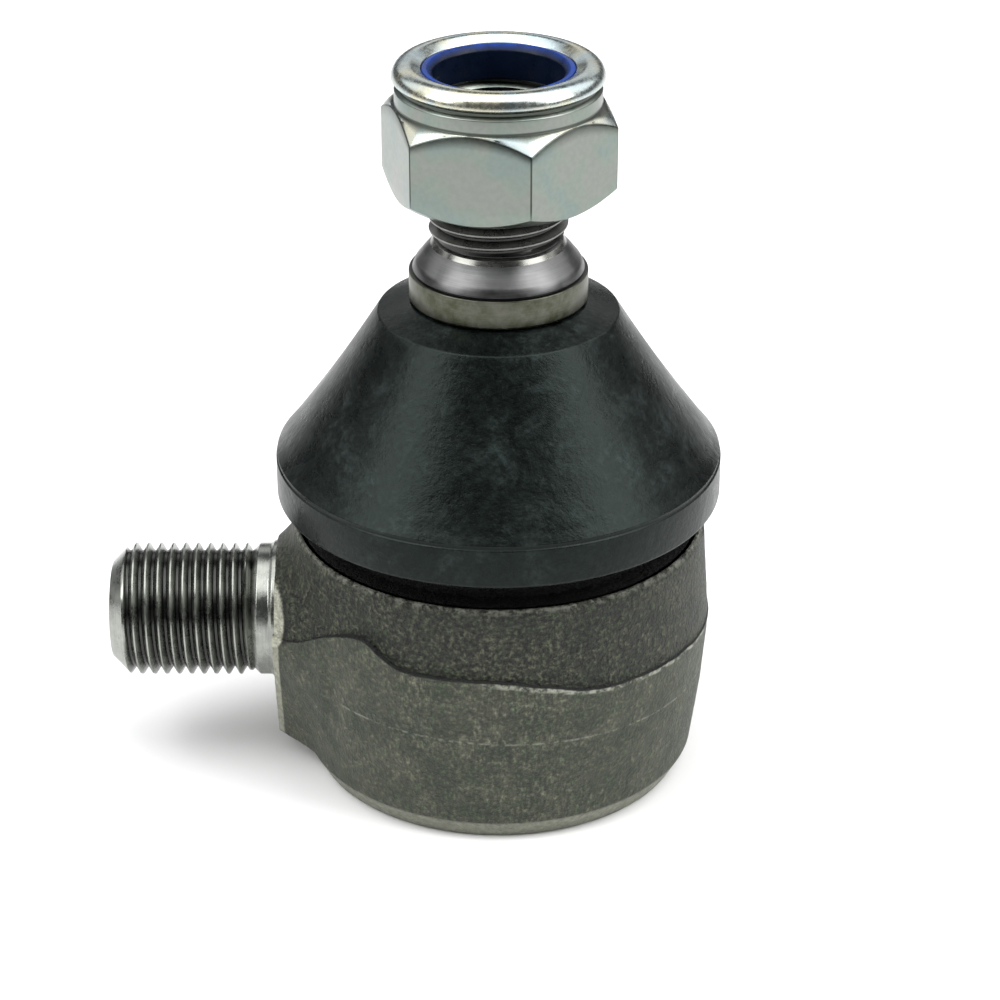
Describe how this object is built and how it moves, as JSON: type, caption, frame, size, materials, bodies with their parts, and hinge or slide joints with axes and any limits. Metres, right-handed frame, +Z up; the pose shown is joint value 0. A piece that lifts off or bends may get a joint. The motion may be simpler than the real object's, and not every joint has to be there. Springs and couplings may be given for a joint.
{
  "type": "tie rod end",
  "caption": "Tie rod end: forged housing with a threaded side shank, a ball stud that tilts and turns in it, a dust boot and a lock nut.",
  "frame": {"origin": "centre of the bottom face, on the line of the stud", "axes": "+Z up along the stud, the threaded shank points along -X, +Y completes the frame"},
  "size_m": [0.073, 0.0526, 0.088],
  "materials": {
    "forging": "forged steel with scale and trimmed flash, oiled",
    "stud_steel": "turned steel, phosphated",
    "cover_steel": "pressed steel sheet",
    "spring_steel": "hardened spring steel",
    "zinc": "bright zinc plate, satin flats",
    "blue_nylon": "moulded nylon",
    "seat_plastic": "moulded acetal",
    "boot_rubber": "moulded rubber with a slight bloom"
  },
  "bodies": {
    "housing": {"housing": "forging", "upper_bearing_seat": "seat_plastic", "lower_bearing_seat": "seat_plastic", "preload_spring": "spring_steel", "closing_plate": "cover_steel", "plate_seal_ring": "boot_rubber", "boot_base_ring": "spring_steel"},
    "boot": {"dust_boot": "boot_rubber"},
    "boot_ring": {"boot_top_ring": "spring_steel"},
    "stud": {"ball_stud": "stud_steel"},
    "insert": {"nylon_insert": "blue_nylon"},
    "nut": {"lock_nut": "zinc"}
  },
  "joints": [
    {"name": "stud_tilt_fore", "type": "hinge", "parent": "housing", "child": "boot", "pos_m": [0, 0, 0.0184], "axis": [1, 0, 0], "range_deg": [-15, 15], "deforming": ["dust_boot"]},
    {"name": "stud_tilt_side", "type": "hinge", "parent": "boot", "child": "boot_ring", "pos_m": [0, 0, 0.0184], "axis": [0, 1, 0], "range_deg": [-15, 15], "deforming": ["dust_boot"]},
    {"name": "stud_spin", "type": "hinge", "parent": "boot_ring", "child": "stud", "pos_m": [0, 0, 0.0184], "axis": [0, 0, 1], "continuous": true},
    {"name": "nut_travel", "type": "slide", "parent": "stud", "child": "insert", "axis": [0, 0, 1], "range_m": [-0.0031, 0.0091], "deforming": ["nylon_insert"]},
    {"name": "nut_spin", "type": "hinge", "parent": "insert", "child": "nut", "pos_m": [0, 0, 0.078], "axis": [0, 0, 1], "range_deg": [-720, 2160]}
  ],
  "couplings": [
    {"joint": "nut_travel", "follows": "nut_spin", "m_per_rad": 0.00023873}
  ]
}
